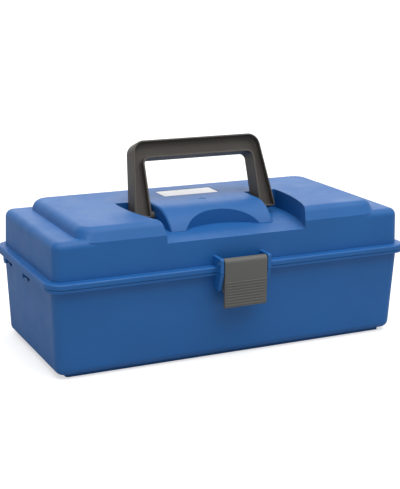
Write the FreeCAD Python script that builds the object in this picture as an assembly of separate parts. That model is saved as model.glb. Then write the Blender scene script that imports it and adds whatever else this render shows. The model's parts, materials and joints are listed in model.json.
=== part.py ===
# A portable tackle box, moulded in plastic: a drafted tub, a hinged lid with a raised
# platform and a sunken well for its folding handle, a flap latch in front, and inside
# a tray that two pairs of cantilever arms lift as the lid opens.
# Millimetres. X runs along the box, the latch faces -Y, Z is up, and the origin is the
# middle of the ring foot that the box stands on.

import FreeCAD, Part
import math
import os

# Whole box
box_length = 334.0
box_depth = 153.2
corner_radius = 8.5
running_gap = 0.3
pin_clearance = 0.06
edge_tolerance = 0.05
cut_overrun = 12.0
inner_bevel_share = 2 - math.sqrt(2)

# Tub
tub_height = 77.3
tub_wall = 2.6
tub_floor = 2.8
tub_draft = 3.0
tub_bottom_round = 6.5
foot_height = 2.9
foot_width = 3.2
foot_inset_ends = 9.0
foot_inset_sides = 6.8
foot_corner_radius = 2.5
foot_inner_radius = 1.0
rim_step = 0.6
rim_overhang = 5.2
rim_thickness = 2.4
tongue_height = 3.0
tongue_thickness = 1.6
tongue_clearance = 0.5

# Lid
lid_wall = 2.5
lid_wall_height = 36.0
lid_draft = 0.9
skirt_height = 4.4
skirt_overhang = 6.4
skirt_edge_bevel = 0.8
shoulder_round = 6.5
platform_rise = 8.6
platform_end_inset = 21.1
platform_end_draft = 3.4
platform_corner_radius = 16.0
platform_rear_inset = 3.6
platform_slope_height = 10.9
platform_slope_run = 6.0
platform_top_round = 8.0

# Handle well, with the hump that stands in it and the scoop for the fingers
well_side_room = 10.8
well_depth = 16.3
well_corner_radius = 3.0
well_side_start = 3.0
well_side_radius = 190.0
well_front_fall = 1.2
well_fall_run = 34.0
hump_side_room = 3.7
hump_front = 42.0
hump_round_start = 12.0
hump_radius = 36.0
hump_edge_round = 2.4
scoop_width = 70.0
scoop_depth = 14.5

# Label recess and its bare plate
label_recess_length = 54.0
label_recess_depth = 22.5
label_recess_y = 32.3
label_recess_radius = 2.5
label_recess_sink = 1.0
plate_margin = 0.5
plate_thickness = 0.8
gate_mark_radius = 3.2
gate_mark_sink = 0.4

# Handle
handle_lean = 20.6
handle_length = 65.1
handle_pivot_y = -5.0
handle_floor_room = 0.9
handle_top_width = 120.6
handle_foot_width = 135.4
handle_opening = 104.4
handle_grip = 15.8
handle_front_reach = 5.5
handle_rear_reach = 11.5
handle_lip = 1.4
handle_channel_depth = 7.0
handle_web = 2.4
handle_channel_bevel = 1.8
handle_channel_bevel_share = 0.4
handle_outer_round = 11.0
handle_inner_round = 5.0
handle_edge_bevel = 0.9
handle_boss_radius = 4.0
handle_foot_drop = 2.0
handle_foot_round = 2.5
trunnion_radius = 3.0
trunnion_reach = 5.0

# Lid hinge
hinge_skirt_room = 0.8
hinge_end_inset = 67.0
knuckle_radius = 4.0
knuckle_length = 13.0
hinge_pin_radius = 1.5
hinge_pin_inset = 1.0

# Latch
latch_width = 39.0
latch_height = 41.8
latch_plate = 2.4
latch_barrel_radius = 3.8
latch_pin_radius = 1.5
latch_skirt_room = 2.4
latch_return_depth = 3.6
latch_return_width = 2.0
ear_thickness = 3.2
ear_margin = 3.4
ear_top_margin = 4.2
ear_corner_round = 2.0
ear_side_gap = 0.75
lower_ear_height = 15.8
lower_ear_lean = 3.9
lower_ear_taper = 3.0
lower_ear_round = 2.5
catch_height = 4.0
catch_drop = 6.0
catch_side_gap = 0.6
hook_reach = 4.1
hook_height = 4.0
grip_rib_width = 1.4
grip_rib_rise = 0.4
grip_rib_pitch = 2.4
grip_rib_count = 9

# Tray arms, their studs and the links that turn them with the lid
arm_length = 55.0
arm_rest_angle = 2.0
arm_width = 11.0
arm_thickness = 2.3
arm_rear_inset = 10.1
arm_rim_gap = 0.8
arm_rib_width = 4.0
arm_rib_rise = 0.5
stud_radius = 2.5
stud_head_radius = 3.6
stud_head_length = 2.6
keyhole_entry_room = 0.9
keyhole_offset = 8.5
tray_stud_radius = 2.3
crank_radius = 28.0
link_width = 8.4
link_thickness = 2.3
link_stud_radius = 2.0
link_head_radius = 3.2
link_head_length = 1.0
lug_thickness = 2.4
lug_width = 9.0
lug_root_height = 9.0
lug_root_room = 1.2

# Tray and its dividers
tray_front_gap = 3.6
tray_rear_gap = 19.6
tray_row_depth = 52.0
tray_pivot_inset = 12.5
tray_height = 29.6
tray_top_rise = 0.3
tray_wall = 1.8
tray_floor = 1.6
tray_corner_radius = 6.0
tray_pocket_radius = 2.0
tray_bottom_bevel = 1.2
tray_lip = 1.4
tray_boss_radius = 4.4
divider_count = 5
divider_thickness = 1.6
divider_drop = 3.0
divider_gap = 0.3
divider_rib = 1.2

# Levels and places that follow from the sizes above
half_length = box_length / 2
half_depth = box_depth / 2
rim_half_length = half_length - rim_step
rim_half_depth = half_depth - rim_step
tub_half_length = rim_half_length - rim_overhang
tub_half_depth = rim_half_depth - rim_overhang
lid_half_length = half_length - skirt_overhang
lid_half_depth = half_depth - skirt_overhang
lid_bottom = tub_height + running_gap
skirt_top = lid_bottom + skirt_height
shoulder_top = lid_bottom + lid_wall_height
platform_top = shoulder_top + platform_rise
slope_bottom = platform_top - platform_slope_height
well_floor = platform_top - well_depth
rim_bottom = tub_height - rim_thickness
tongue_half_length = lid_half_length - lid_wall - tongue_clearance
tongue_half_depth = lid_half_depth - lid_wall - tongue_clearance
throat_half_length = tongue_half_length - tongue_thickness
throat_half_depth = tongue_half_depth - tongue_thickness
hinge_middle = half_length - hinge_end_inset
platform_half_length = lid_half_length - platform_end_inset
hinge_y = half_depth + hinge_skirt_room + knuckle_radius
hinge_z = lid_bottom
handle_pivot_z = well_floor + handle_floor_room + max(handle_front_reach, handle_boss_radius)
lean = math.radians(handle_lean)
handle_rear_at_top = (handle_pivot_y + (platform_top - handle_pivot_z) * math.tan(lean)
                      + handle_rear_reach / math.cos(lean))
well_rear = handle_rear_at_top + running_gap
well_width = handle_foot_width + 2 * well_side_room
hump_width = handle_opening - 2 * hump_side_room
latch_back = -(half_depth + latch_skirt_room + latch_return_depth)
latch_front = latch_back - latch_plate
latch_y = latch_front + latch_barrel_radius
latch_z = skirt_top + running_gap + latch_barrel_radius
latch_top = latch_z + latch_barrel_radius
latch_bottom = latch_top - latch_height
ear_inner = latch_width / 2 + ear_side_gap
ear_outer = ear_inner + ear_thickness
catch_front = latch_back + hook_reach + running_gap
catch_top = tub_height - catch_drop
catch_half_width = latch_width / 2 - latch_return_width - catch_side_gap
ear_tip_z = tub_height - lower_ear_height
arm_pivot_z = rim_bottom - running_gap - stud_head_radius
keyhole_entry_radius = stud_head_radius + keyhole_entry_room
rest = math.radians(arm_rest_angle)
arm_reach_y = -arm_length * math.cos(rest)
arm_reach_z = arm_length * math.sin(rest)
crank_y = -crank_radius * math.cos(rest)
crank_z = crank_radius * math.sin(rest)
front_arm_outer = throat_half_length - arm_rim_gap
front_arm_inner = front_arm_outer - arm_thickness
rear_arm_outer = front_arm_inner - running_gap - arm_rib_rise
rear_arm_inner = rear_arm_outer - arm_thickness
link_outer = rear_arm_inner - running_gap
link_inner = link_outer - link_thickness
lug_outer = link_inner - running_gap
lug_inner = lug_outer - lug_thickness
tray_half_length = lug_inner - running_gap
tray_front_y = tray_front_gap - throat_half_depth
tray_rear_y = throat_half_depth - tray_rear_gap
tray_row_y = tray_front_y + tray_row_depth
arm_rear_y = throat_half_depth - arm_rear_inset
arm_front_y = tray_front_y + tray_pivot_inset - arm_reach_y
tray_top = tub_height + tray_top_rise
tray_bottom = tray_top - tray_height

X_AXIS = FreeCAD.Vector(1, 0, 0)
Z_AXIS = FreeCAD.Vector(0, 0, 1)
ORIGIN = FreeCAD.Vector(0, 0, 0)


def point(x, y, z):
    return FreeCAD.Vector(x, y, z)


def rounded_outline(half_x, front, rear, radius, z):
    """A rectangle in plan with four round corners, as a wire at height z."""
    centres = [(half_x - radius, rear - radius), (radius - half_x, rear - radius),
               (radius - half_x, front + radius), (half_x - radius, front + radius)]
    arcs = []
    for turn, (cx, cy) in enumerate(centres):
        spots = []
        for eighth in range(3):
            angle = math.pi / 4 * (2 * turn + eighth)
            spots.append(point(cx + radius * math.cos(angle), cy + radius * math.sin(angle), z))
        arcs.append(spots)
    edges = []
    for turn, spots in enumerate(arcs):
        edges.append(Part.Arc(*spots).toShape())
        edges.append(Part.LineSegment(spots[2], arcs[(turn + 1) % 4][0]).toShape())
    return Part.Wire(edges)


def upright(half_x, front, rear, radius, low, high):
    """A straight-sided block on a rounded rectangle."""
    outline = rounded_outline(half_x, front, rear, radius, low)
    return Part.Face(outline).extrude(point(0, 0, high - low))


def drafted(low_plan, low, high_plan, high, radius):
    """A block whose flat sides lean from one rectangle to another, with its four corners rounded.

    A plan is half the length along X, the front and the rear.
    """
    rings = []
    for (half_x, front, rear), level in ((low_plan, low), (high_plan, high)):
        rings.append([point(-half_x, front, level), point(half_x, front, level),
                      point(half_x, rear, level), point(-half_x, rear, level)])
    bottom, top = rings
    outlines = [bottom[::-1], top]
    for count in range(4):
        after = (count + 1) % 4
        outlines.append([bottom[count], bottom[after], top[after], top[count]])
    faces = [Part.Face(Part.makePolygon(outline + outline[:1])) for outline in outlines]
    solid = Part.Solid(Part.Shell(faces))
    leaning = [edge for edge in solid.Edges if edge.BoundBox.ZLength > (high - low) / 2]
    return solid.makeFillet(radius, leaning)


def softened(solid, size, inset, edges):
    """Edges rounded on the outside of a wall, and bevelled inside it.

    The bevel touches the middle of the round that the wall would have there.
    """
    if inset > 0:
        return solid.makeChamfer((size - inset) * inner_bevel_share, edges)
    return solid.makeFillet(size, edges)


def side_profile(spots, half_x):
    """A closed outline in Y and Z, as wide as twice half_x along X and centred."""
    corners = [point(-half_x, y, z) for y, z in spots]
    outline = Part.makePolygon(corners + corners[:1])
    return Part.Face(outline).extrude(point(2 * half_x, 0, 0))


def slab(spots, x_low, x_high):
    """A closed outline in Y and Z, from x_low to x_high."""
    corners = [point(x_low, y, z) for y, z in spots]
    outline = Part.makePolygon(corners + corners[:1])
    return Part.Face(outline).extrude(point(x_high - x_low, 0, 0))


def block(x_low, x_high, y_low, y_high, z_low, z_high):
    return Part.makeBox(x_high - x_low, y_high - y_low, z_high - z_low, point(x_low, y_low, z_low))


def rod(x_low, x_high, y, z, radius):
    return Part.makeCylinder(radius, x_high - x_low, point(x_low, y, z), X_AXIS)


def bar_between(y1, z1, y2, z2, width, x_low, x_high):
    """A flat bar with round ends, lying across X, from one pivot to the other."""
    length = math.hypot(y2 - y1, z2 - z1)
    along_y = (y2 - y1) / length
    along_z = (z2 - z1) / length
    side_y = -along_z * width / 2
    side_z = along_y * width / 2
    corners = [(y1 + side_y, z1 + side_z), (y2 + side_y, z2 + side_z),
               (y2 - side_y, z2 - side_z), (y1 - side_y, z1 - side_z)]
    ends = [rod(x_low, x_high, y1, z1, width / 2), rod(x_low, x_high, y2, z2, width / 2)]
    return slab(corners, x_low, x_high).fuse(ends).removeSplitter()


def mirrored(shape):
    return shape.mirror(ORIGIN, X_AXIS)


def both_sides(shape):
    return [shape, mirrored(shape)]


def edges_at(shape, level):
    """The edges that lie flat at one height."""
    found = []
    for edge in shape.Edges:
        box = edge.BoundBox
        if abs(box.ZMin - level) < edge_tolerance and abs(box.ZMax - level) < edge_tolerance:
            found.append(edge)
    return found


# Tub

def tub_side(level, half):
    """Half the length or depth of the tub's outside at a height, with its draft."""
    return half - tub_draft * (rim_bottom - level) / (rim_bottom - foot_height)


def tub_body(inset, low):
    """The tub's outside, or its inside when inset by the wall."""
    low_plan = (tub_side(low, tub_half_length) - inset, inset - tub_side(low, tub_half_depth),
                tub_side(low, tub_half_depth) - inset)
    high_plan = (tub_half_length - inset, inset - tub_half_depth, tub_half_depth - inset)
    body = drafted(low_plan, low, high_plan, rim_bottom, corner_radius - inset)
    return softened(body, tub_bottom_round, inset, edges_at(body, low))


def keyhole(pivot_y):
    """The slot that a stud's head enters by, and then slides back in, in the left wall."""
    x_low = -(tub_half_length + cut_overrun)
    x_high = cut_overrun - tub_half_length
    bore = stud_radius + pin_clearance
    entry_y = pivot_y - keyhole_offset
    seat = rod(x_low, x_high, pivot_y, arm_pivot_z, bore)
    entry = rod(x_low, x_high, entry_y, arm_pivot_z, keyhole_entry_radius)
    slot = block(x_low, x_high, entry_y, pivot_y, arm_pivot_z - bore, arm_pivot_z + bore)
    return seat.fuse([entry, slot])


def knuckle(x_low, x_high, root_y, z_low, z_high):
    """A hinge barrel with its root, bored for the pin."""
    barrel = rod(x_low, x_high, hinge_y, hinge_z, knuckle_radius)
    root = block(x_low, x_high, root_y, hinge_y, z_low, z_high)
    bore = rod(x_low - running_gap, x_high + running_gap, hinge_y, hinge_z, hinge_pin_radius + pin_clearance)
    return barrel.fuse(root).cut(bore)


def tub_knuckles():
    """The outer two of the three barrels at the right-hand hinge."""
    near = hinge_middle - knuckle_length / 2 - running_gap
    far = hinge_middle + knuckle_length / 2 + running_gap
    root_low = hinge_z - knuckle_radius
    return [knuckle(near - knuckle_length, near, tub_half_depth, root_low, tub_height),
            knuckle(far, far + knuckle_length, tub_half_depth, root_low, tub_height)]


def lower_ear():
    """The right-hand cheek beside the latch, which ends below in a rounded tip."""
    front = latch_y - ear_margin
    root = tub_wall - tub_half_depth
    low = ear_tip_z
    tip = front + lower_ear_lean
    spots = [(root, tub_height), (front, tub_height), (tip, low), (root, low + lower_ear_taper)]
    cheek = slab(spots, ear_inner, ear_outer)
    end = [edge for edge in cheek.Edges
           if edge.BoundBox.XLength > ear_thickness / 2 and edge.BoundBox.ZMax < low + edge_tolerance]
    return cheek.makeFillet(lower_ear_round, end)


def catch():
    """The rounded ledge behind the latch, which its hook faces."""
    nose = catch_height / 2
    root = tub_wall - tub_half_depth
    ledge = block(-catch_half_width, catch_half_width, catch_front + nose, root,
                  catch_top - catch_height, catch_top)
    return ledge.fuse(rod(-catch_half_width, catch_half_width, catch_front + nose, catch_top - nose, nose))


def make_tub():
    body = tub_body(0, foot_height)
    rim = upright(rim_half_length, -rim_half_depth, rim_half_depth,
                  corner_radius + rim_overhang, rim_bottom, tub_height)
    tongue = upright(tongue_half_length, -tongue_half_depth, tongue_half_depth,
                     corner_radius - lid_wall, rim_bottom, tub_height + tongue_height)
    foot_x = tub_side(foot_height, tub_half_length) - foot_inset_ends
    foot_y = tub_side(foot_height, tub_half_depth) - foot_inset_sides
    foot = upright(foot_x, -foot_y, foot_y, foot_corner_radius, 0, foot_height + tub_floor / 2)
    foot_hollow = upright(foot_x - foot_width, foot_width - foot_y, foot_y - foot_width,
                          foot_inner_radius, 0, foot_height)
    outside = body.fuse([foot, rim, tongue])
    outside = outside.fuse([lower_ear(), mirrored(lower_ear()), catch()])
    for barrel in tub_knuckles():
        outside = outside.fuse(both_sides(barrel))
    inside = tub_body(tub_wall, foot_height + tub_floor)
    throat = upright(throat_half_length, -throat_half_depth, throat_half_depth,
                     corner_radius - lid_wall - tongue_thickness,
                     rim_bottom - running_gap, tub_height + tongue_height + cut_overrun)
    cuts = [foot_hollow, inside, throat]
    for pivot_y in (arm_rear_y, arm_front_y):
        cuts += both_sides(keyhole(pivot_y))
    return outside.cut(cuts).removeSplitter()


# Lid

def lid_side(level, half):
    """Half the length or depth of the lid's outside at a height, with its draft."""
    return half - lid_draft * (level - lid_bottom) / lid_wall_height


def lid_body(inset):
    """The lid's outside, or its inside when inset by the wall."""
    top = shoulder_top - inset
    low_plan = (lid_half_length - inset, inset - lid_half_depth, lid_half_depth - inset)
    high_plan = (lid_side(top, lid_half_length) - inset, inset - lid_side(top, lid_half_depth),
                 lid_side(top, lid_half_depth) - inset)
    walls = drafted(low_plan, lid_bottom, high_plan, top, corner_radius - inset)
    walls = softened(walls, shoulder_round, inset, edges_at(walls, top))
    half_x = platform_half_length - inset
    radius = platform_corner_radius - inset
    rear = lid_half_depth - platform_rear_inset - inset
    root = slope_bottom - platform_slope_height

    def front(level):
        return inset - lid_side(level, lid_half_depth)

    foot = drafted((half_x, front(root), rear), root,
                   (half_x, front(slope_bottom), rear), slope_bottom, radius)
    crown = drafted((half_x, front(slope_bottom), rear), slope_bottom,
                    (half_x - platform_end_draft, front(slope_bottom) + platform_slope_run,
                     rear - platform_end_draft / 2), platform_top - inset, radius)
    crown = softened(crown, platform_top_round, inset, edges_at(crown, platform_top - inset))
    return walls.fuse([foot, crown]).removeSplitter()


def well_plan(inset, low, high):
    """The well seen from above: a straight rear, round corners and sides that curve in."""
    half_x = well_width / 2 + inset
    rear = well_rear + inset
    corner = well_corner_radius + inset
    radius = well_side_radius + inset
    front = -(half_depth + cut_overrun)
    turn = math.asin((well_side_start - front) / radius)
    half_turn = turn / 2
    start = min(well_side_start, rear - corner)

    def side(angle, sign):
        x = half_x - radius + radius * math.cos(angle)
        return point(sign * x, start - radius * math.sin(angle), low)

    edges = []
    for sign in (1, -1):
        diagonal = corner * math.sqrt(0.5)
        rear_end = point(sign * (half_x - corner), rear, low)
        bend = point(sign * (half_x - corner + diagonal), rear - corner + diagonal, low)
        side_top = point(sign * half_x, rear - corner, low)
        edges.append(Part.Arc(rear_end, bend, side_top).toShape())
        if rear - corner > start:
            edges.append(Part.LineSegment(side_top, side(0, sign)).toShape())
        edges.append(Part.Arc(side(0, sign), side(half_turn, sign), side(turn, sign)).toShape())
    rear_right = point(half_x - corner, rear, low)
    rear_left = point(corner - half_x, rear, low)
    edges.append(Part.LineSegment(rear_right, rear_left).toShape())
    edges.append(Part.LineSegment(side(turn, 1), side(turn, -1)).toShape())
    outline = Part.Wire(Part.__sortEdges__(edges))
    return Part.Face(outline).extrude(point(0, 0, high - low))


def well_floor_block(inset, low):
    """All below the well's floor, which falls gently to the front edge."""
    level = well_floor - inset
    front = -(half_depth + 2 * cut_overrun)
    rear = half_depth
    fall_start = well_fall_run - lid_half_depth
    slope = well_front_fall / well_fall_run
    end = level - slope * (fall_start - front)
    spots = [(rear, low), (rear, level), (fall_start, level), (front, end), (front, low)]
    return side_profile(spots, box_length)


def hump(inset, low):
    """The arched hump between the two legs of the handle, with its finger scoop."""
    half_x = hump_width / 2 - inset
    top = platform_top - inset
    radius = hump_radius - inset
    flat_end = -hump_round_start
    front = inset - hump_front
    drop_angle = math.asin((flat_end - front) / radius)
    front_z = top - radius + radius * math.cos(drop_angle)
    rear = well_rear + cut_overrun
    mid_y = flat_end - radius * math.sin(drop_angle / 2)
    mid_z = top - radius + radius * math.cos(drop_angle / 2)
    spots = [point(-half_x, y, z) for y, z in
             ((front, low), (rear, low), (rear, top), (flat_end, top), (mid_y, mid_z), (front, front_z))]
    arch = Part.Arc(spots[3], spots[4], spots[5]).toShape()
    edges = [Part.LineSegment(spots[0], spots[1]).toShape(),
             Part.LineSegment(spots[1], spots[2]).toShape(),
             Part.LineSegment(spots[2], spots[3]).toShape(), arch,
             Part.LineSegment(spots[5], spots[0]).toShape()]
    solid = Part.Face(Part.Wire(edges)).extrude(point(2 * half_x, 0, 0))
    # Only the outside is rounded, by less than the wall, so the wall stays thick enough at its edges.
    if inset == 0:
        crests = []
        for edge in solid.Edges:
            box = edge.BoundBox
            sideways = box.XLength < edge_tolerance
            upper = box.ZMax > top - edge_tolerance and box.ZMin > low + edge_tolerance
            if sideways and upper and box.YMin < rear - edge_tolerance:
                crests.append(edge)
        solid = solid.makeFillet(hump_edge_round, crests)
    half_chord = scoop_width / 2
    scoop_radius = (half_chord ** 2 + scoop_depth ** 2) / (2 * scoop_depth)
    centre_y = scoop_depth - hump_front - scoop_radius
    scoop = Part.makeCylinder(scoop_radius + inset, platform_top + cut_overrun - low,
                              point(0, centre_y, low), Z_AXIS)
    return solid.cut(scoop)


def well(inset):
    """The air of the well, or that air grown by the wall."""
    low = well_floor - well_depth
    air = well_plan(inset, low, platform_top + cut_overrun)
    return air.cut([well_floor_block(inset, low - cut_overrun), hump(inset, low - cut_overrun)])


def upper_ear():
    """The right-hand ear that carries the latch pin."""
    front = latch_y - ear_margin
    root = lid_wall - lid_half_depth
    high = latch_z + ear_top_margin
    spots = [(root, lid_bottom), (front, lid_bottom), (front, high), (root, high)]
    ear = slab(spots, ear_inner, ear_outer)
    corner = [edge for edge in ear.Edges
              if edge.BoundBox.XLength > ear_thickness / 2 and edge.BoundBox.YMax < front + edge_tolerance
              and edge.BoundBox.ZMin > high - edge_tolerance]
    ear = ear.makeFillet(ear_corner_round, corner)
    bore = rod(ear_inner - running_gap, ear_outer + running_gap, latch_y, latch_z,
               latch_pin_radius + pin_clearance)
    return ear.cut(bore)


def link_lug():
    """The right-hand lug inside the lid, with the stud that the link turns on."""
    y = hinge_y + crank_y
    z = hinge_z + crank_z
    root_low = z + link_width / 2 + lug_root_room
    wall_x = lid_half_length - lid_wall / 2
    front = y - lug_width / 2
    rear = y + lug_width / 2
    plate = block(lug_inner, lug_outer, front, rear, z, root_low + lug_root_height)
    eye = rod(lug_inner, lug_outer, y, z, lug_width / 2)
    root = block(lug_inner, wall_x, front, rear, root_low, root_low + lug_root_height)
    stud = rod(lug_outer, link_outer, y, z, link_stud_radius)
    return plate.fuse([eye, root, stud])


def make_lid():
    outside = lid_body(0)
    skirt = upright(half_length, -half_depth, half_depth, corner_radius + skirt_overhang,
                    lid_bottom, skirt_top)
    skirt = skirt.makeChamfer(skirt_edge_bevel, edges_at(skirt, skirt_top))
    barrel = knuckle(hinge_middle - knuckle_length / 2, hinge_middle + knuckle_length / 2,
                     lid_half_depth, hinge_z, hinge_z + knuckle_radius)
    outside = outside.cut(well(0))
    outside = outside.fuse([skirt] + both_sides(upper_ear()) + both_sides(barrel))
    inside = lid_body(lid_wall).cut(well(lid_wall))
    label = upright(label_recess_length / 2, label_recess_y - label_recess_depth / 2,
                    label_recess_y + label_recess_depth / 2, label_recess_radius,
                    platform_top - label_recess_sink, platform_top + cut_overrun)
    gate = Part.makeCylinder(gate_mark_radius, cut_overrun,
                             point(0, 0, platform_top - gate_mark_sink), Z_AXIS)
    sockets = rod(-hump_width / 2, hump_width / 2, handle_pivot_y, handle_pivot_z,
                  trunnion_radius + pin_clearance)
    shell = outside.cut([inside, label, gate, sockets])
    return shell.fuse(both_sides(link_lug())).removeSplitter()


def make_name_plate():
    """A bare plate that fills the label recess but for its margin."""
    low = platform_top - label_recess_sink
    half_depth_of_plate = label_recess_depth / 2 - plate_margin
    return upright(label_recess_length / 2 - plate_margin, label_recess_y - half_depth_of_plate,
                   label_recess_y + half_depth_of_plate, label_recess_radius - plate_margin,
                   low, low + plate_thickness)


# Handle, drawn upright over its pivot and then leaned back

def handle_outline(inset, front, rear):
    """The outer sides and top, from the feet up, inset by the lip for a channel."""
    top = handle_length - inset
    foot = -handle_foot_drop
    slope = (handle_foot_width - handle_top_width) / 2 / handle_length
    side = math.hypot(1, slope) * inset
    foot_x = handle_foot_width / 2 - slope * foot - side
    top_x = handle_foot_width / 2 - slope * top - side
    corners = [point(-foot_x, front, foot), point(-top_x, front, top), point(top_x, front, top),
               point(foot_x, front, foot)]
    solid = Part.Face(Part.makePolygon(corners + corners[:1])).extrude(point(0, rear - front, 0))
    upper = [edge for edge in solid.Edges
             if edge.BoundBox.YLength > (rear - front) / 2 and edge.BoundBox.ZMin > top - edge_tolerance]
    return solid.makeFillet(handle_outer_round - inset, upper)


def handle_gap(outset, front, rear):
    """The opening for the hand, grown by the lip for a channel."""
    half_x = handle_opening / 2 + outset
    top = handle_length - handle_grip + outset
    gap = block(-half_x, half_x, front, rear, -handle_length, top)
    upper = [edge for edge in gap.Edges
             if edge.BoundBox.YLength > (rear - front) / 2 and edge.BoundBox.ZMin > top - edge_tolerance]
    return gap.makeFillet(handle_inner_round + outset, upper)


def handle_channel(front, rear):
    """The air of a channel that runs up one leg, along the grip and down the other leg."""
    pocket = handle_outline(handle_lip, front, rear)
    island = handle_gap(handle_lip, front - cut_overrun, rear + cut_overrun)
    # The channel stays shut for one lip above each foot.
    sill = block(-box_length, box_length, -box_depth, box_depth, -box_depth, handle_lip - handle_foot_drop)
    return pocket.cut([island, sill])


def edges_in_plane(shape, y):
    """The edges that lie in one plane across Y."""
    return [edge for edge in shape.Edges
            if abs(edge.BoundBox.YMin - y) < edge_tolerance and abs(edge.BoundBox.YMax - y) < edge_tolerance]


def make_handle():
    front = -handle_front_reach
    rear = handle_rear_reach
    web_front = front + handle_channel_depth
    outline = handle_outline(0, front, rear)
    feet = [edge for edge in outline.Edges
            if edge.BoundBox.YLength > (rear - front) / 2 and edge.BoundBox.ZMax < edge_tolerance]
    outline = outline.makeFillet(handle_foot_round, feet)
    rims = edges_in_plane(outline, front) + edges_in_plane(outline, rear)
    outline = outline.makeChamfer(handle_edge_bevel, rims)
    frame = outline.cut(handle_gap(0, front - cut_overrun, rear + cut_overrun))
    dished = handle_channel(front - cut_overrun, web_front)
    # The bevel is limited by the walls of the channel where a leg is narrowest.
    leg_width = (min(handle_top_width, handle_foot_width) - handle_opening) / 2
    bevel = min(handle_channel_bevel, handle_channel_bevel_share * (leg_width - 2 * handle_lip))
    dished = dished.makeChamfer(bevel, edges_in_plane(dished, web_front))
    frame = frame.cut([dished, handle_channel(web_front + handle_web, rear + cut_overrun)])
    pieces = [frame]
    hump_side = hump_width / 2 + running_gap
    for sign in (-1, 1):
        inner = sign * hump_side
        outer = sign * (handle_opening / 2 + handle_lip)
        tip = sign * (hump_width / 2 - trunnion_reach)
        pieces.append(rod(min(inner, outer), max(inner, outer), 0, 0, handle_boss_radius))
        pieces.append(rod(min(tip, outer), max(tip, outer), 0, 0, trunnion_radius))
    whole = pieces[0].fuse(pieces[1:]).removeSplitter()
    whole.rotate(ORIGIN, X_AXIS, -handle_lean)
    whole.translate(point(0, handle_pivot_y, handle_pivot_z))
    return whole


# Latch

def make_latch():
    half_x = latch_width / 2
    front = latch_front
    back = latch_back
    plate = block(-half_x, half_x, front, back, latch_bottom, latch_z)
    lower = [edge for edge in plate.Edges
             if edge.BoundBox.XLength > half_x and edge.BoundBox.ZMax < latch_bottom + edge_tolerance
             and edge.BoundBox.YMax < front + edge_tolerance]
    plate = plate.makeFillet(latch_plate / 2, lower)
    barrel = rod(-half_x, half_x, latch_y, latch_z, latch_barrel_radius)
    pieces = [barrel]
    # The side returns reach only as low as the ears beside them.
    for low_x in (-half_x, half_x - latch_return_width):
        pieces.append(block(low_x, low_x + latch_return_width, front + latch_plate / 2,
                            back + latch_return_depth, ear_tip_z, latch_z))
    hook_tip = back + hook_reach
    hook_top = catch_top - catch_height - running_gap
    spots = [(back, hook_top - hook_height), (hook_tip, hook_top - hook_height / 4),
             (hook_tip, hook_top), (back - latch_plate / 2, hook_top)]
    pieces.append(slab(spots, -catch_half_width, catch_half_width))
    for count in range(grip_rib_count):
        level = latch_bottom + latch_plate + count * grip_rib_pitch
        ridge = [(front, level - grip_rib_width / 2), (front - grip_rib_rise, level),
                 (front, level + grip_rib_width / 2)]
        pieces.append(slab(ridge, -half_x, half_x))
    bore = rod(-ear_outer, ear_outer, latch_y, latch_z, latch_pin_radius + pin_clearance)
    return plate.fuse(pieces).cut(bore).removeSplitter()


def make_latch_pin():
    return rod(-ear_outer, ear_outer, latch_y, latch_z, latch_pin_radius)


def make_hinge_pin():
    """The pin of the right-hand hinge."""
    reach = knuckle_length * 3 / 2 + running_gap - hinge_pin_inset
    return rod(hinge_middle - reach, hinge_middle + reach, hinge_y, hinge_z, hinge_pin_radius)


# Arms and links, for the right-hand end

def make_arm(pivot_y, inner, outer, with_crank):
    """An arm with its headed stud in the keyhole, its stud in the tray and a rib along it."""
    tray_y = pivot_y + arm_reach_y
    tray_z = arm_pivot_z + arm_reach_z
    wall_outer = tub_side(arm_pivot_z - stud_head_radius, tub_half_length)
    wall_inner = wall_outer - tub_wall
    wall_top = tub_side(arm_pivot_z + stud_head_radius, tub_half_length)
    head_low = wall_top + running_gap
    pieces = [rod(outer, wall_inner - running_gap, pivot_y, arm_pivot_z, stud_head_radius),
              rod(outer, head_low + stud_head_length, pivot_y, arm_pivot_z, stud_radius),
              rod(head_low, head_low + stud_head_length, pivot_y, arm_pivot_z, stud_head_radius),
              rod(tray_half_length - tray_wall, inner, tray_y, tray_z, tray_stud_radius),
              bar_between(pivot_y, arm_pivot_z, tray_y, tray_z, arm_rib_width, outer, outer + arm_rib_rise)]
    if with_crank:
        y = pivot_y + crank_y
        z = arm_pivot_z + crank_z
        pieces.append(rod(link_inner - running_gap - link_head_length, inner, y, z, link_stud_radius))
        pieces.append(rod(link_inner - running_gap - link_head_length, link_inner - running_gap, y, z,
                          link_head_radius))
    arm = bar_between(pivot_y, arm_pivot_z, tray_y, tray_z, arm_width, inner, outer)
    return arm.fuse(pieces).removeSplitter()


def make_link():
    """The link from the lid's lug to the rear arm."""
    lid_y = hinge_y + crank_y
    lid_z = hinge_z + crank_z
    arm_y = arm_rear_y + crank_y
    arm_z = arm_pivot_z + crank_z
    bar = bar_between(lid_y, lid_z, arm_y, arm_z, link_width, link_inner, link_outer)
    bore = link_stud_radius + pin_clearance
    holes = [rod(link_inner - running_gap, link_outer + running_gap, y, z, bore)
             for y, z in ((lid_y, lid_z), (arm_y, arm_z))]
    return bar.cut(holes)


# Tray

def divider_places():
    """The middles of the loose dividers, evenly along the front row."""
    row = 2 * (tray_half_length - tray_wall)
    return [row * (count + 1) / (divider_count + 1) - row / 2 for count in range(divider_count)]


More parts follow.
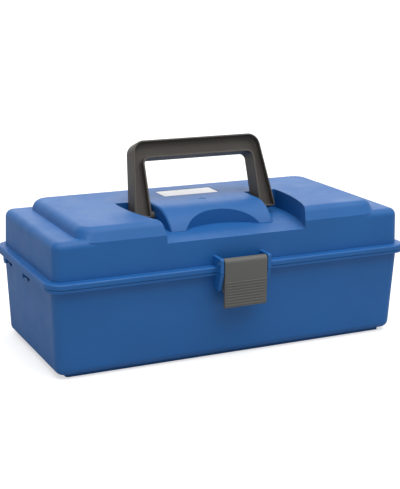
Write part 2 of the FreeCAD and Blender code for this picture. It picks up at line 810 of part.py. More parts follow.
def make_tray():
    body = upright(tray_half_length, tray_front_y, tray_rear_y, tray_corner_radius, tray_bottom, tray_top)
    body = body.makeChamfer(tray_bottom_bevel, edges_at(body, tray_bottom))
    lip_x = tray_half_length - tray_corner_radius
    lips = [block(-lip_x, lip_x, tray_front_y - tray_lip, tray_front_y, tray_top - tray_lip, tray_top),
            block(-lip_x, lip_x, tray_rear_y, tray_rear_y + tray_lip, tray_top - tray_lip, tray_top)]
    pivot_z = arm_pivot_z + arm_reach_z
    bosses = []
    bores = []
    for pivot_y, reach in ((arm_rear_y, rear_arm_inner), (arm_front_y, front_arm_inner)):
        y = pivot_y + arm_reach_y
        boss = rod(tray_half_length - tray_wall, reach - running_gap, y, pivot_z, tray_boss_radius)
        bosses += both_sides(boss)
        bores += both_sides(rod(tray_half_length - tray_wall - cut_overrun, reach, y, pivot_z,
                                tray_stud_radius + pin_clearance))
    floor = tray_bottom + tray_floor
    inner_x = tray_half_length - tray_wall
    front = tray_front_y + tray_wall
    rear = tray_rear_y - tray_wall
    pockets = [upright(inner_x, front, tray_row_y - tray_wall / 2, tray_pocket_radius, floor,
                       tray_top + cut_overrun)]
    half_pocket = (inner_x - tray_wall / 2) / 2
    for sign in (-1, 1):
        pocket = upright(half_pocket, tray_row_y + tray_wall / 2, rear, tray_pocket_radius, floor,
                         tray_top + cut_overrun)
        pocket.translate(point(sign * (inner_x - half_pocket), 0, 0))
        pockets.append(pocket)
    tray = body.fuse(lips + bosses).cut(pockets)
    ribs = []
    for place in divider_places():
        for sign in (-1, 1):
            edge = place + sign * (divider_thickness / 2 + divider_gap)
            low_x = min(edge, edge + sign * divider_rib)
            for root_y, tip_y in ((front - tray_wall / 2, front + divider_rib),
                                  (tray_row_y - tray_wall / 2 - divider_rib, tray_row_y)):
                ribs.append(block(low_x, low_x + divider_rib, root_y, tip_y, floor - tray_floor / 2,
                                  tray_top - divider_drop))
    return tray.fuse(ribs).cut(bores).removeSplitter()


def make_divider(place):
    front = tray_front_y + tray_wall + divider_gap
    rear = tray_row_y - tray_wall / 2 - divider_gap
    half = divider_thickness / 2
    return block(place - half, place + half, front, rear, tray_bottom + tray_floor, tray_top - divider_drop)


# All the pieces, each written to its own file

def make_all():
    arm_rear = make_arm(arm_rear_y, rear_arm_inner, rear_arm_outer, True)
    arm_front = make_arm(arm_front_y, front_arm_inner, front_arm_outer, False)
    link = make_link()
    hinge_pin = make_hinge_pin()
    nodes = {
        "base_tub": make_tub(),
        "lid_shell": make_lid(),
        "name_plate": make_name_plate(),
        "handle": make_handle(),
        "latch": make_latch(),
        "latch_pin": make_latch_pin(),
        "hinge_pin_right": hinge_pin,
        "hinge_pin_left": mirrored(hinge_pin),
        "arm_rear_right": arm_rear,
        "arm_rear_left": mirrored(arm_rear),
        "arm_front_right": arm_front,
        "arm_front_left": mirrored(arm_front),
        "lid_link_right": link,
        "lid_link_left": mirrored(link),
        "tray": make_tray(),
    }
    for count, place in enumerate(divider_places()):
        nodes[f"tray_divider_{count + 1}"] = make_divider(place)
    return nodes


os.makedirs("parts", exist_ok=True)
for name, shape in make_all().items():
    shape.exportStep(f"parts/{name}.step")
    box = shape.BoundBox
    print(f"{name}: {len(shape.Solids)} solid, {len(shape.Faces)} faces, {shape.Volume:.0f} mm3, "
          f"valid {shape.isValid()}, x {box.XMin:.1f} to {box.XMax:.1f}, y {box.YMin:.1f} to {box.YMax:.1f}, "
          f"z {box.ZMin:.1f} to {box.ZMax:.1f}")
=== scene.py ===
# %% [markdown]
# A moulded tackle box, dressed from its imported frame.
# The frame already holds every piece at its real size and place. So this script sets up
# a camera, light and a floor, gives the pieces their finishes and their soft moulded
# edges, and adds the fine ribs and the loose slats.

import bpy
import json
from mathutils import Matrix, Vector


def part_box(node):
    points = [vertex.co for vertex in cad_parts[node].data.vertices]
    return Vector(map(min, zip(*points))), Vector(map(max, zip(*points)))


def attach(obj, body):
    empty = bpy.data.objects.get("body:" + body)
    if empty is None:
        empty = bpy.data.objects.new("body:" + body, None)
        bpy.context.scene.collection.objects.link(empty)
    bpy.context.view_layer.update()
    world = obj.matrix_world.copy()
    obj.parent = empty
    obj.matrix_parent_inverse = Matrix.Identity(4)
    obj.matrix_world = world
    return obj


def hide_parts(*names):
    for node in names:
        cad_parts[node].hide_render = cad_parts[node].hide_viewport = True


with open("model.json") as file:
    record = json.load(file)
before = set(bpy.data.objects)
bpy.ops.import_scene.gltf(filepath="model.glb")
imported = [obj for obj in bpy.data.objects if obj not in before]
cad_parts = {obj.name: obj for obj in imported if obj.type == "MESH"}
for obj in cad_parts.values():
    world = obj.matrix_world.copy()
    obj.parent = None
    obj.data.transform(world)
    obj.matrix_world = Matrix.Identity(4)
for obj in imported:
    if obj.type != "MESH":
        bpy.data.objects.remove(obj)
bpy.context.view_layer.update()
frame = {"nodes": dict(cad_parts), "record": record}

# %% [markdown]
# Blender counts in metres, but the small sizes of a moulding are easier to read in
# millimetres, so they are numbers times MM. The frame's record says which body each
# piece moves with, and which material it is made of.

# %% Names used by the cells below
import json
import math

import bmesh
import bpy
from mathutils import Matrix, Vector
from mathutils.geometry import intersect_point_line

MM = 0.001
nodes = frame["nodes"]
record = frame["record"]
body_of_node = {name: body for body, names in record["behaviour"]["bodies"].items() for name in names}
slot_of_node = {part["node"]: part["material_slot"] for part in record["subparts"]}

# %% [markdown]
# The camera comes first, because every later choice is judged through it. The box was
# measured in the photograph, and the camera below is the one that puts the measured box
# back on its outline: a long lens, a little to the left and a little above. Building it
# from angles and a distance keeps it readable, and a matrix of three directions keeps
# Blender's own rotation order out of the sum.

# %% Camera
FRAME_HEIGHT_PX = 489
FOCAL_PX = 1151.26
SENSOR_HEIGHT_MM = 36.0
CAMERA_AZIMUTH = math.radians(-25.556)
CAMERA_ELEVATION = math.radians(14.566)
CAMERA_ROLL = math.radians(0.545)
CAMERA_DISTANCE = 1.022745
CAMERA_TARGET = Vector((0, 0, 0.070))
AIM_RIGHT = 0.001659
AIM_UP = -0.010223


def camera_directions():
    """Right, up and back of the camera."""
    back = Vector((math.sin(CAMERA_AZIMUTH) * math.cos(CAMERA_ELEVATION),
                   -math.cos(CAMERA_AZIMUTH) * math.cos(CAMERA_ELEVATION),
                   math.sin(CAMERA_ELEVATION)))
    level_right = Vector((0, 0, 1)).cross(back).normalized()
    level_up = back.cross(level_right)
    right = math.cos(CAMERA_ROLL) * level_right + math.sin(CAMERA_ROLL) * level_up
    up = math.cos(CAMERA_ROLL) * level_up - math.sin(CAMERA_ROLL) * level_right
    return right, up, back


def put_in_scene(name, data):
    """A new object at the origin, which holds a camera, a lamp or a mesh."""
    thing = bpy.data.objects.new(name, data)
    bpy.context.scene.collection.objects.link(thing)
    return thing


right, up, back = camera_directions()
place = CAMERA_TARGET + back * CAMERA_DISTANCE - right * AIM_RIGHT - up * AIM_UP
camera_data = bpy.data.cameras.new("camera")
camera_data.sensor_fit = "VERTICAL"
camera_data.sensor_height = SENSOR_HEIGHT_MM
camera_data.lens = SENSOR_HEIGHT_MM * FOCAL_PX / FRAME_HEIGHT_PX
camera = put_in_scene("camera", camera_data)
camera.matrix_world = Matrix((right, up, back)).transposed().to_4x4()
camera.matrix_world.translation = place
bpy.context.scene.camera = camera
print("lens", round(camera_data.lens, 2), "mm at", [round(v, 4) for v in place])

# %% [markdown]
# The photograph has a white ground with hardly any shadow, and the top of the box is
# clearly lighter than its walls. A room that shines evenly would light them alike. So
# the room gives only a dim light, and is white just where the camera, a mirroring
# surface or a clear one looks at it. The Light Path node tells these rays apart.

# %% The white room
ROOM_STRENGTH = 0.34
SEEN_STRENGTH = 1.0
WHITE = (1, 1, 1, 1)


def either(tree, first, second):
    """A value that is 1 where one of two values is 1."""
    node = tree.nodes.new("ShaderNodeMath")
    node.operation = "MAXIMUM"
    tree.links.new(first, node.inputs[0])
    tree.links.new(second, node.inputs[1])
    return node.outputs[0]


def white_background(tree, strength):
    """White light of one strength from all sides."""
    light = tree.nodes.new("ShaderNodeBackground")
    light.inputs["Color"].default_value = WHITE
    light.inputs["Strength"].default_value = strength
    return light.outputs[0]


world = bpy.data.worlds.new("white room")
bpy.context.scene.world = world
world.use_nodes = True
room = world.node_tree
room.nodes.clear()
ray = room.nodes.new("ShaderNodeLightPath")
seen_or_mirrored = either(room, ray.outputs["Is Camera Ray"], ray.outputs["Is Glossy Ray"])
looked_at = either(room, seen_or_mirrored, ray.outputs["Is Transmission Ray"])
room_mix = room.nodes.new("ShaderNodeMixShader")
room_output = room.nodes.new("ShaderNodeOutputWorld")
room.links.new(looked_at, room_mix.inputs["Fac"])
room.links.new(white_background(room, ROOM_STRENGTH), room_mix.inputs[1])
room.links.new(white_background(room, SEEN_STRENGTH), room_mix.inputs[2])
room.links.new(room_mix.outputs[0], room_output.inputs["Surface"])
print("room gives", ROOM_STRENGTH, "and looks", SEEN_STRENGTH)

# %% [markdown]
# Two lamps add what the room holds back. The strong one hangs overhead, a little towards
# the front, and lightens the top. The weak one stands low behind the box, and its
# mirrored light lies on the top as a pale sheen. They are sun lamps, so their light is
# the same all over the box, and a wide angle makes their shadows soft.

# %% Lamps
LAMPS = {
    "overhead_lamp": {"strength": 2.7, "softness": math.radians(62), "from": Vector((0.05, -0.30, 1.0))},
    "back_lamp": {"strength": 0.75, "softness": math.radians(50), "from": Vector((0.40, 1.0, 0.36))},
}
for lamp_name, lamp in LAMPS.items():
    lamp_data = bpy.data.lights.new(lamp_name, "SUN")
    lamp_data.energy = lamp["strength"]
    lamp_data.angle = lamp["softness"]
    lamp_object = put_in_scene(lamp_name, lamp_data)
    lamp_object.matrix_world = lamp["from"].to_track_quat("Z", "Y").to_matrix().to_4x4()
print(len(LAMPS), "lamps")

# %% [markdown]
# The floor is a large sheet of paper, and the box throws its soft shadow on it. White
# paper would light the walls from below, so this paper is grey, and a glow that only the
# camera sees brings it up to white.

# %% Floor
FLOOR_SIZE = 40.0
FLOOR_GREY = 0.58
FLOOR_GLOW = 0.60

floor_mesh = bpy.data.meshes.new("floor")
floor_grid = bmesh.new()
bmesh.ops.create_grid(floor_grid, x_segments=1, y_segments=1, size=FLOOR_SIZE / 2)
floor_grid.to_mesh(floor_mesh)
floor_grid.free()
floor = put_in_scene("floor", floor_mesh)

floor_finish = bpy.data.materials.new("white paper")
floor_finish.use_nodes = True
paper = floor_finish.node_tree
paper.nodes.clear()
paper_ray = paper.nodes.new("ShaderNodeLightPath")
paper_diffuse = paper.nodes.new("ShaderNodeBsdfDiffuse")
paper_diffuse.inputs["Color"].default_value = (FLOOR_GREY, FLOOR_GREY, FLOOR_GREY, 1)
paper_glow = paper.nodes.new("ShaderNodeEmission")
paper_glow.inputs["Color"].default_value = WHITE
glow_strength = paper.nodes.new("ShaderNodeMath")
glow_strength.operation = "MULTIPLY"
glow_strength.inputs[1].default_value = FLOOR_GLOW
paper_sum = paper.nodes.new("ShaderNodeAddShader")
paper_output = paper.nodes.new("ShaderNodeOutputMaterial")
paper.links.new(paper_ray.outputs["Is Camera Ray"], glow_strength.inputs[0])
paper.links.new(glow_strength.outputs[0], paper_glow.inputs["Strength"])
paper.links.new(paper_diffuse.outputs[0], paper_sum.inputs[0])
paper.links.new(paper_glow.outputs[0], paper_sum.inputs[1])
paper.links.new(paper_sum.outputs[0], paper_output.inputs["Surface"])
floor_mesh.materials.append(floor_finish)
bpy.context.scene.view_settings.view_transform = "Standard"
print("floor", FLOOR_SIZE, "m across")

# %% [markdown]
# Nearly every piece is injection moulded. Such a surface is never one flat colour: the
# pigment drifts a little over a hand's width, handling polishes it in patches, and the
# tool's spark finish leaves a grain of about a third of a millimetre. Noise textures
# give all three. They read Object coordinates, because the pieces sit at the origin and
# the pattern then keeps its real scale on every piece.

# %% Colours and noise
PIGMENT = {"scale": 16, "detail": 3}
POLISH = {"scale": 45, "detail": 4, "roughness": 0.6}
GRAIN = {"scale": 2600, "detail": 2}
NOISE_LOW = 0.3
NOISE_HIGH = 0.7


def plain_colour(red, green, blue):
    """A screen colour, 0 to 255, taken through the sRGB curve to the linear numbers of a shader."""
    def linear(value):
        share = value / 255
        return share / 12.92 if share <= 0.04045 else ((share + 0.055) / 1.055) ** 2.4
    return linear(red), linear(green), linear(blue), 1.0


def shade_of(colour, factor):
    """The colour made darker by a factor under 1, or paler by one over 1."""
    return tuple(min(1.0, part * factor) for part in colour[:3]) + (1.0,)


def new_finish(name):
    """A material, its node tree, its shader and the object's own coordinates."""
    finish = bpy.data.materials.new(name)
    finish.use_nodes = True
    tree = finish.node_tree
    where = tree.nodes.new("ShaderNodeTexCoord").outputs["Object"]
    return finish, tree, tree.nodes["Principled BSDF"], where


def noise(tree, where, scale, detail, roughness=0.5):
    """A noise of so many waves to a metre, with so many finer layers of waves on top."""
    node = tree.nodes.new("ShaderNodeTexNoise")
    node.inputs["Scale"].default_value = scale
    node.inputs["Detail"].default_value = detail
    node.inputs["Roughness"].default_value = roughness
    tree.links.new(where, node.inputs["Vector"])
    return node.outputs["Fac"]


def spread(tree, value, low, high):
    """Maps the middle of a noise, where most of it lies, onto the range from low to high."""
    node = tree.nodes.new("ShaderNodeMapRange")
    node.inputs["From Min"].default_value = NOISE_LOW
    node.inputs["From Max"].default_value = NOISE_HIGH
    node.inputs["To Min"].default_value = low
    node.inputs["To Max"].default_value = high
    tree.links.new(value, node.inputs["Value"])
    return node.outputs["Result"]


print("grain of", round(1 / GRAIN["scale"] / MM, 2), "mm")

# %% [markdown]
# The handle is dark, and its edges get a painted highlight: a paler shade stands in for
# the light that a rounded edge catches. The Bevel node gives the normal that a surface
# would have if its edges were rounded over the highlight's width. Where that differs from
# the true normal an edge is near, and the paler shade is mixed in. The two limits are
# cosines of the angle between the two normals.

# %% Painted highlight on the edges
EDGE_HIGHLIGHT_WIDTH = 0.9 * MM
EDGE_HIGHLIGHT_SAMPLES = 6
EDGE_HIGHLIGHT_BEGINS_COSINE = 0.98
EDGE_HIGHLIGHT_FULL_COSINE = 0.86


def edge_highlight_colour(tree, plain, pale):
    """The plain colour on the faces and the pale one along the edges, a painted highlight."""
    around = tree.nodes.new("ShaderNodeBevel")
    around.samples = EDGE_HIGHLIGHT_SAMPLES
    around.inputs["Radius"].default_value = EDGE_HIGHLIGHT_WIDTH
    shape = tree.nodes.new("ShaderNodeNewGeometry")
    agreement = tree.nodes.new("ShaderNodeVectorMath")
    agreement.operation = "DOT_PRODUCT"
    tree.links.new(around.outputs["Normal"], agreement.inputs[0])
    tree.links.new(shape.outputs["Normal"], agreement.inputs[1])
    turned = tree.nodes.new("ShaderNodeMapRange")
    turned.inputs["From Min"].default_value = EDGE_HIGHLIGHT_BEGINS_COSINE
    turned.inputs["From Max"].default_value = EDGE_HIGHLIGHT_FULL_COSINE
    tree.links.new(agreement.outputs["Value"], turned.inputs["Value"])
    blend = tree.nodes.new("ShaderNodeMix")
    blend.data_type = "RGBA"
    blend.inputs["B"].default_value = pale
    tree.links.new(turned.outputs["Result"], blend.inputs["Factor"])
    tree.links.new(plain, blend.inputs["A"])
    return blend.outputs["Result"]


# The width printed here is that of the painted highlight along the edges.
print("edge highlight painted over", round(EDGE_HIGHLIGHT_WIDTH / MM, 2), "mm")

# %% [markdown]
# The plastic is satin, not glossy: its roughness spreads what it mirrors into a wide
# sheen. The top, seen at a low angle, mirrors the white room and turns pale, while the
# walls, seen nearly square on, stay a deep blue. The grain is a bump, because it is too
# fine to model. The plate is a little glossier than the mouldings round it.

# %% The moulded plastics
PLASTIC_IOR = 1.49
GRAIN_DEPTH = 0.03 * MM
GRAIN_STRENGTH = 0.35
# How much paler the painted highlight on the handle's edges is than the handle.
EDGE_HIGHLIGHT_PALER_BY = 2.4


def moulded_plastic(name, colour, drift=0.05, roughness=(0.52, 0.62), edge_highlight_shade=None):
    """Satin plastic with drifting pigment, polish in patches, a fine grain and maybe a painted highlight
    along the edges.
    """
    finish, tree, shader, where = new_finish(name)
    pigment = tree.nodes.new("ShaderNodeMix")
    pigment.data_type = "RGBA"
    pigment.inputs["A"].default_value = shade_of(colour, 1 - drift)
    pigment.inputs["B"].default_value = shade_of(colour, 1 + drift)
    tree.links.new(spread(tree, noise(tree, where, **PIGMENT), 0, 1), pigment.inputs["Factor"])
    surface_colour = pigment.outputs["Result"]
    # A painted highlight: a paler shade along the edges stands in for the light they catch.
    if edge_highlight_shade:
        surface_colour = edge_highlight_colour(tree, surface_colour, edge_highlight_shade)
    tree.links.new(surface_colour, shader.inputs["Base Color"])
    tree.links.new(spread(tree, noise(tree, where, **POLISH), *roughness), shader.inputs["Roughness"])
    bump = tree.nodes.new("ShaderNodeBump")
    bump.inputs["Strength"].default_value = GRAIN_STRENGTH
    bump.inputs["Distance"].default_value = GRAIN_DEPTH
    tree.links.new(noise(tree, where, **GRAIN), bump.inputs["Height"])
    tree.links.new(bump.outputs["Normal"], shader.inputs["Normal"])
    shader.inputs["IOR"].default_value = PLASTIC_IOR
    return finish


blue = plain_colour(8, 89, 156)
charcoal = plain_colour(70, 66, 61)
latch_grey = plain_colour(88, 88, 86)
tray_grey = plain_colour(176, 180, 186)
divider_grey = plain_colour(184, 188, 192)
off_white = plain_colour(206, 206, 210)
finishes = {
    "tub_plastic": moulded_plastic("blue tub plastic", blue),
    "lid_plastic": moulded_plastic("blue lid plastic", blue),
    "arm_plastic": moulded_plastic("blue arm plastic", blue),
    # The handle's edges carry a painted highlight, a paler shade of its charcoal.
    "handle_plastic": moulded_plastic("charcoal handle plastic", charcoal,
                                      edge_highlight_shade=shade_of(charcoal, EDGE_HIGHLIGHT_PALER_BY)),
    "latch_plastic": moulded_plastic("grey latch plastic", latch_grey),
    "tray_plastic": moulded_plastic("pale grey tray plastic", tray_grey),
    "divider_plastic": moulded_plastic("pale grey divider plastic", divider_grey),
    "plate": moulded_plastic("off-white plate", off_white, drift=0.02, roughness=(0.3, 0.4)),
}
print(len(finishes), "plastics")

# %% [markdown]
# The hinge and latch pins are bright drawn wire. Drawing leaves scratches along the
# wire, and all the pins lie along X, so a noise that is stretched along X does it.

# %% The drawn steel finish
STEEL_COLOUR = plain_colour(196, 197, 198)
STEEL_ROUGHNESS = (0.22, 0.38)
SCRATCHES = {"scale": 3000, "detail": 3}
ALONG_THE_WIRE = (0.04, 1, 1)


def drawn_steel(name):
    """Bright steel whose roughness changes in long scratches."""
    finish, tree, shader, where = new_finish(name)
    shader.inputs["Metallic"].default_value = 1.0
    shader.inputs["Base Color"].default_value = STEEL_COLOUR
    stretch = tree.nodes.new("ShaderNodeMapping")
    stretch.inputs["Scale"].default_value = ALONG_THE_WIRE
    tree.links.new(where, stretch.inputs["Vector"])
    streaks = noise(tree, stretch.outputs["Vector"], **SCRATCHES)
    tree.links.new(spread(tree, streaks, *STEEL_ROUGHNESS), shader.inputs["Roughness"])
    return finish


finishes["pin_steel"] = drawn_steel("drawn steel wire")
print(len(finishes), "finishes")

# %% [markdown]
# A moulding has no knife edges: the tool's corners are broken, and the light catches on
# them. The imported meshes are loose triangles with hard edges. One could subdivide
# them, but that would round the flats too. So each is copied and welded, its flat
# triangles are joined, and a narrow bevel runs along the hard edges that are left. A
# short edge is mostly a facet of a small round, which shading smooths, so it has to turn
# further than a long edge before it counts as hard.

# %% Hard edges
WELD_DISTANCE = 0.004 * MM
SLIVER = 0.05 * MM
FLAT_ANGLE = math.radians(0.1)
HARD_ANGLE = math.radians(33)
LONG_HARD_ANGLE = math.radians(24)
LONG_EDGE = 12 * MM


def loose_copy(node):
    """A node's loose triangles, free to be changed."""
    loose = bmesh.new()
    loose.from_mesh(nodes[node].data)
    return loose


def join_flats(loose):
    """Welds the triangles, drops the slivers and joins what is coplanar."""
    bmesh.ops.remove_doubles(loose, verts=loose.verts, dist=WELD_DISTANCE)
    bmesh.ops.dissolve_degenerate(loose, dist=SLIVER, edges=loose.edges)
    bmesh.ops.dissolve_limit(loose, angle_limit=FLAT_ANGLE, verts=loose.verts, edges=loose.edges)


def is_hard(edge):
    """Whether two faces meet at the edge and turn further than its length allows."""
    if len(edge.link_faces) != 2:
        return False
    return edge.calc_face_angle() > (LONG_HARD_ANGLE if edge.calc_length() > LONG_EDGE else HARD_ANGLE)


print("hard from", round(math.degrees(LONG_HARD_ANGLE)), "or", round(math.degrees(HARD_ANGLE)), "degrees")

# %% [markdown]
# A bevel as wide as a short neighbour is long would fold over itself. Blender can clamp
# all bevels to the narrowest place of a mesh, but then the whole moulding stays sharp.
# So every edge has a width of its own, from the room round it. Edges in one row share
# the least width of the row, because a bevel that jumps from wide to narrow spikes, and
# a bevel too narrow to see is left out.

# %% Widths of the bevels
LEAST_BEVEL = 0.03 * MM
SIDEWAYS_COSINE = 0.87
ROOM_SHARE = 0.42


def gap_to(spot, edge):
    """The distance from a point to an edge."""
    start, end = edge.verts[0].co, edge.verts[1].co
    nearest, share = intersect_point_line(spot, start, end)
    if share < 0:
        nearest = start
    elif share > 1:
        nearest = end
    return (spot - nearest).length


def bevel_room(edge):
    """How wide a bevel may be at an edge, from what lies across its faces and beside its ends."""
    start, end = edge.verts[0].co, edge.verts[1].co
    along = (end - start).normalized()
    room_left = edge.calc_length()
    for vert in edge.verts:
        for other in vert.link_edges:
            if other is not edge:
                away = (other.other_vert(vert).co - vert.co).normalized()
                if abs(along.dot(away)) < SIDEWAYS_COSINE:
                    room_left = min(room_left, other.calc_length())
    for face in edge.link_faces:
        for other in face.edges:
            if not set(other.verts) & set(edge.verts):
                gaps = [gap_to(start, other), gap_to(end, other)]
                gaps += [gap_to(vert.co, edge) for vert in other.verts]
                room_left = min(room_left, *gaps)
    return ROOM_SHARE * room_left


def in_line(first, second, vert):
    """Whether one edge carries the other on, through the corner that they share."""
    one = (first.other_vert(vert).co - vert.co).normalized()
    two = (second.other_vert(vert).co - vert.co).normalized()
    return one.dot(two) < -SIDEWAYS_COSINE


def bevel_widths(weld, edge_radius):
    """Each hard edge's width, with every row of edges brought down to its least."""
    widths = {edge: min(edge_radius, bevel_room(edge)) for edge in weld.edges if is_hard(edge)}
    waiting = sorted(widths, key=widths.get, reverse=True)
    while waiting:
        narrow = waiting.pop()
        for vert in narrow.verts:
            for other in vert.link_edges:
                if widths.get(other, 0) > widths[narrow] and in_line(narrow, other, vert):
                    widths[other] = widths[narrow]
                    waiting.append(other)
    return {edge: width for edge, width in widths.items() if width > LEAST_BEVEL}


print("bevels from", round(LEAST_BEVEL / MM, 2), "mm")

# %% [markdown]
# The Bevel modifier takes each edge's width as a weight, a share of the widest. Normals
# weighted by area then keep the flats flat, and edges that turn sharply stay creases.
# The result of the modifiers becomes a plain mesh, which rides on the node's body, wears
# the node's finish and stands in for the node.

# %% Soft moulded edges
BEVEL_SEGMENTS = 2
CREASE_ANGLE = math.radians(50)


def apply_modifiers(piece):
    """Makes what the modifiers give the piece's own mesh, and drops them and the old mesh."""
    old = piece.data
    made = bpy.data.meshes.new_from_object(piece.evaluated_get(bpy.context.evaluated_depsgraph_get()))
    piece.modifiers.clear()
    piece.data = made
    bpy.data.meshes.remove(old)
    made.name = piece.name


def soften(loose, name, edge_radius):
    """An object whose hard edges are rounded, and whose normals follow its larger faces."""
    join_flats(loose)
    weights = loose.edges.layers.float.new("bevel_weight_edge")
    for edge, width in bevel_widths(loose, edge_radius).items():
        edge[weights] = width / edge_radius
    mesh = bpy.data.meshes.new(name)
    loose.to_mesh(mesh)
    loose.free()
    mesh.shade_smooth()
    piece = put_in_scene(name, mesh)
    bevel = piece.modifiers.new("soft edge", "BEVEL")
    bevel.width = edge_radius
    bevel.segments = BEVEL_SEGMENTS
    bevel.limit_method = "WEIGHT"
    bevel.use_clamp_overlap = False
    bevel.loop_slide = False
    apply_modifiers(piece)
    piece.data.shade_smooth()
    piece.data.set_sharp_from_angle(angle=CREASE_ANGLE)
    weigh = piece.modifiers.new("flat flats", "WEIGHTED_NORMAL")
    weigh.keep_sharp = True
    apply_modifiers(piece)
    return piece


def dress(piece, node):
    """Finishes a piece as a node is finished, puts it on the node's body and hides the node."""
    piece.data.materials.clear()
    piece.data.materials.append(finishes[slot_of_node[node]])
    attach(piece, body_of_node[node])
    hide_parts(node)
    print(piece.name, len(piece.data.polygons), "faces")


# %% [markdown]
# The tub and the lid have edges broken by about a third of a millimetre. The handle has
# more, because a hand carries the box by it, and the small pieces have less. The latch
# and the loose slats come later, because their forms need more than soft edges.

# %% Mouldings and pins
EDGE_RADII = {"base_tub": 0.3 * MM, "lid_shell": 0.3 * MM, "handle": 0.4 * MM, "tray": 0.25 * MM}
SMALL_EDGE = 0.2 * MM
for node in nodes:
    if node != "latch" and not node.startswith("tray_divider"):
        moulding = soften(loose_copy(node), node + "_moulding", EDGE_RADII.get(node, SMALL_EDGE))
        dress(moulding, node)

# %% [markdown]
# The lower half of the latch has fine ribs for the thumb, and the front row of the tray
# has five loose slats. Both are the same thing to a maker: one bar, repeated at an even
# step. Geometry Nodes suit that, because the bar is drawn once, as a straight line with
# a rounded rectangle swept along it, and a line of points repeats it.

# %% One bar, repeated
CORNER_STEPS = 4
BAR_INPUTS = {
    "Count": "NodeSocketInt",
    "Start": "NodeSocketVector",
    "Step": "NodeSocketVector",
    "Bar": "NodeSocketVector",
    "Width": "NodeSocketFloat",
    "Height": "NodeSocketFloat",
    "Rounding": "NodeSocketFloat",
    "Finish": "NodeSocketMaterial",
}


def bar_row_tree():
    """Bars of rounded section at even steps, and the identifier of each named input."""
    tree = bpy.data.node_groups.new("row of bars", "GeometryNodeTree")
    keys = {}
    for name, kind in BAR_INPUTS.items():
        keys[name] = tree.interface.new_socket(name=name, in_out="INPUT", socket_type=kind).identifier
    tree.interface.new_socket(name="Geometry", in_out="OUTPUT", socket_type="NodeSocketGeometry")
    given = tree.nodes.new("NodeGroupInput")
    result = tree.nodes.new("NodeGroupOutput")
    line = tree.nodes.new("GeometryNodeCurvePrimitiveLine")
    section = tree.nodes.new("GeometryNodeCurvePrimitiveQuadrilateral")
    fillet = tree.nodes.new("GeometryNodeFilletCurve")
    fillet.mode = "POLY"
    fillet.inputs["Count"].default_value = CORNER_STEPS
    sweep = tree.nodes.new("GeometryNodeCurveToMesh")
    sweep.inputs["Fill Caps"].default_value = True
    places = tree.nodes.new("GeometryNodeMeshLine")
    copies = tree.nodes.new("GeometryNodeInstanceOnPoints")
    real = tree.nodes.new("GeometryNodeRealizeInstances")
    paint = tree.nodes.new("GeometryNodeSetMaterial")
    link = tree.links.new
    link(given.outputs["Bar"], line.inputs["End"])
    link(given.outputs["Width"], section.inputs["Width"])
    link(given.outputs["Height"], section.inputs["Height"])
    link(section.outputs["Curve"], fillet.inputs["Curve"])
    link(given.outputs["Rounding"], fillet.inputs["Radius"])
    link(line.outputs["Curve"], sweep.inputs["Curve"])
    link(fillet.outputs["Curve"], sweep.inputs["Profile Curve"])
    link(given.outputs["Count"], places.inputs["Count"])
    link(given.outputs["Start"], places.inputs["Start Location"])
    link(given.outputs["Step"], places.inputs["Offset"])
    link(places.outputs["Mesh"], copies.inputs["Points"])
    link(sweep.outputs["Mesh"], copies.inputs["Instance"])
    link(copies.outputs["Instances"], real.inputs["Geometry"])
    link(real.outputs["Geometry"], paint.inputs["Geometry"])
    link(given.outputs["Finish"], paint.inputs["Material"])
    link(paint.outputs["Geometry"], result.inputs["Geometry"])
    return tree, keys


row_tree, row_keys = bar_row_tree()
print(len(row_keys), "inputs for a row of bars")

# %% [markdown]
# A modifier knows the tree's inputs by their identifiers, so the names are looked up.
# They are all set before the row is made, and the row then becomes a plain mesh.

# %% A row of bars
def row_of_bars(name, **sizes):
    """A plain mesh object of equal bars, made by the tree and then freed from it."""
    row = put_in_scene(name, bpy.data.meshes.new(name))
    repeat = row.modifiers.new("row", "NODES")
    repeat.node_group = row_tree
    for key, value in sizes.items():
        repeat[row_keys[key]] = value
    apply_modifiers(row)
    print(name, len(row.data.polygons), "faces", [round(v / MM, 2) for v in row.dimensions])
    return row


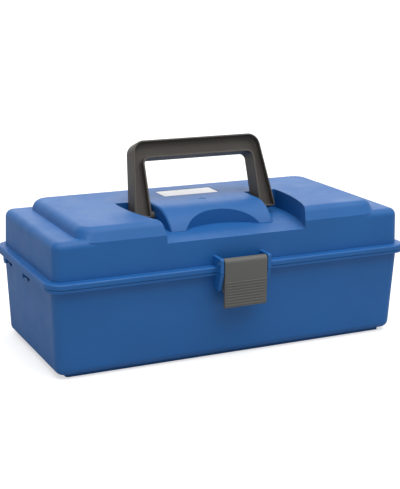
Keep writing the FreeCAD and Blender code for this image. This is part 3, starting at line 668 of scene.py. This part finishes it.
# %% [markdown]
# The solid of the latch has its ribs as small ridges. They are pressed flat in the copy,
# and rounded ribs stand in their places, no higher than the ridges were. A rib's
# rounding stops just short of half its depth, because corners that met would leave
# faces with no width.

# %% Latch and its ribs
RIB_COUNT = 9
RIB_PITCH = 2.4 * MM
RIB_RISE = 0.4 * MM
RIB_WIDTH = 1.3 * MM
RIB_START = 2.4 * MM
RIB_END_MARGIN = 0.9 * MM
RIB_ROUNDING_SHARE = 0.99
latch_low, latch_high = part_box("latch")
latch_front = latch_low.y + RIB_RISE
rib_length = latch_high.x - latch_low.x - 2 * RIB_END_MARGIN

latch_copy = loose_copy("latch")
for vert in latch_copy.verts:
    vert.co.y = max(vert.co.y, latch_front)
latch = soften(latch_copy, "latch_moulding", SMALL_EDGE)
dress(latch, "latch")

latch_ribs = row_of_bars(
    "latch_ribs", Count=RIB_COUNT, Width=2 * RIB_RISE, Height=RIB_WIDTH,
    Rounding=RIB_ROUNDING_SHARE * RIB_RISE,
    Start=(latch_low.x + RIB_END_MARGIN, latch_front, latch_low.z + RIB_START),
    Step=(0, 0, RIB_PITCH), Bar=(rib_length, 0, 0), Finish=finishes["latch_plastic"])
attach(latch_ribs, "latch")

# %% [markdown]
# The five slats stand loose between guide ribs of the tray. One slat's box gives the size
# of the bar, and the first and last slat give the step.

# %% Loose slats of the tray
SLAT_ROUNDING = 0.35 * MM
slat_names = sorted(node for node in nodes if node.startswith("tray_divider"))
first_low, first_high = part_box(slat_names[0])
last_low, last_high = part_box(slat_names[-1])
slat_size = first_high - first_low
slat_middle = (first_low + first_high) / 2
slat_step = (last_low.x - first_low.x) / (len(slat_names) - 1)
slats = row_of_bars(
    "tray_slats", Count=len(slat_names), Width=slat_size.x, Height=slat_size.z, Rounding=SLAT_ROUNDING,
    Start=(slat_middle.x, first_low.y, slat_middle.z), Step=(slat_step, 0, 0),
    Bar=(0, slat_size.y, 0), Finish=finishes["divider_plastic"])
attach(slats, "tray")
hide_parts(*slat_names)
